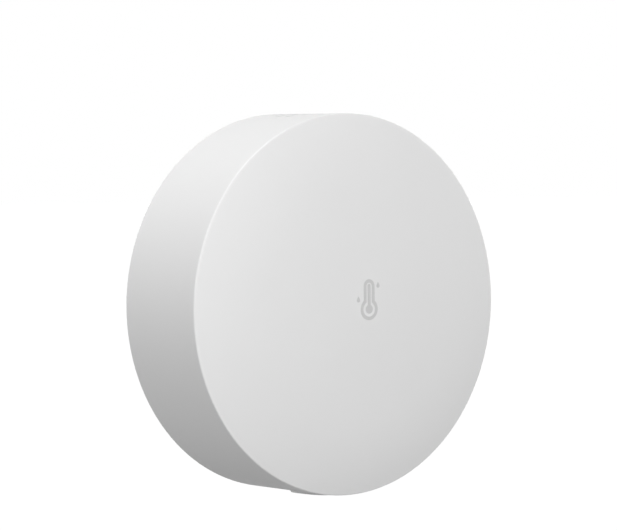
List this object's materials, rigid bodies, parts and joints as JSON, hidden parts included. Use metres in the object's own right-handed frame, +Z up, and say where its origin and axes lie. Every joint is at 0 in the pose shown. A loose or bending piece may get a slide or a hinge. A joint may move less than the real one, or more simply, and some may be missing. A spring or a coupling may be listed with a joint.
{
  "type": "temperature humidity sensor",
  "caption": "Round drum-shaped wall sensor with a crowned front, vent slots on top, a push button underneath and a twist-off wall plate over its battery bay.",
  "frame": {"origin": "centre of the wall plate's back face, which lies on the wall", "axes": "+Z up, +Y into the wall, +X to the right seen from the front, which faces -Y"},
  "size_m": [0.06, 0.0236, 0.0603],
  "materials": {
    "shell": "fine matt moulded texture",
    "print": "printed grey ink",
    "membrane": "fine woven mesh",
    "button": "fine matt moulded texture",
    "cover": "plain moulded",
    "plate": "plain moulded",
    "pad": "foam with a paper liner",
    "board": "solder mask",
    "chip": "moulded epoxy",
    "foam": "closed-cell foam",
    "tin": "tinned sheet",
    "copper": "gilt copper",
    "lamp": "clear resin",
    "plunger": "plain moulded",
    "cell": "jacketed can with bare ends",
    "contact": "nickel plate",
    "screw": "zinc plate"
  },
  "bodies": {
    "wall_mount": {"wall_plate": "plate", "adhesive_pads": "pad"},
    "sensor_body": {"front_shell": "shell", "icon_print": "print", "vent_membrane": "membrane", "rear_cover": "cover", "main_board": "board", "sensor_chip": "chip", "sensor_gasket": "foam", "radio_board": "board", "radio_shield": "tin", "radio_chip": "chip", "antenna": "copper", "crystal": "tin", "board_chips": "chip", "status_led": "lamp", "switch_body": "chip", "switch_cover": "tin", "upper_cell": "cell", "lower_cell": "cell", "bridge_contact": "contact", "positive_contact": "contact", "negative_contact": "contact", "contact_springs": "contact", "cover_screws": "screw", "board_screws": "screw"},
    "button": {"button_cap": "button"},
    "plunger": {"switch_plunger": "plunger"}
  },
  "joints": [
    {"name": "body_twist", "type": "hinge", "parent": "wall_mount", "child": "sensor_body", "pos_m": [0, 0, 0], "axis": [0, -1, 0], "range_deg": [0, 25]},
    {"name": "button_press", "type": "slide", "parent": "sensor_body", "child": "button", "axis": [0, 0, 1], "range_m": [0, 0.0003], "stiffness_N_per_m": 4000},
    {"name": "plunger_press", "type": "slide", "parent": "sensor_body", "child": "plunger", "axis": [0, 0, 1], "range_m": [0, 0.0003]}
  ],
  "couplings": [
    {"joint": "plunger_press", "follows": "button_press", "ratio": 1}
  ]
}
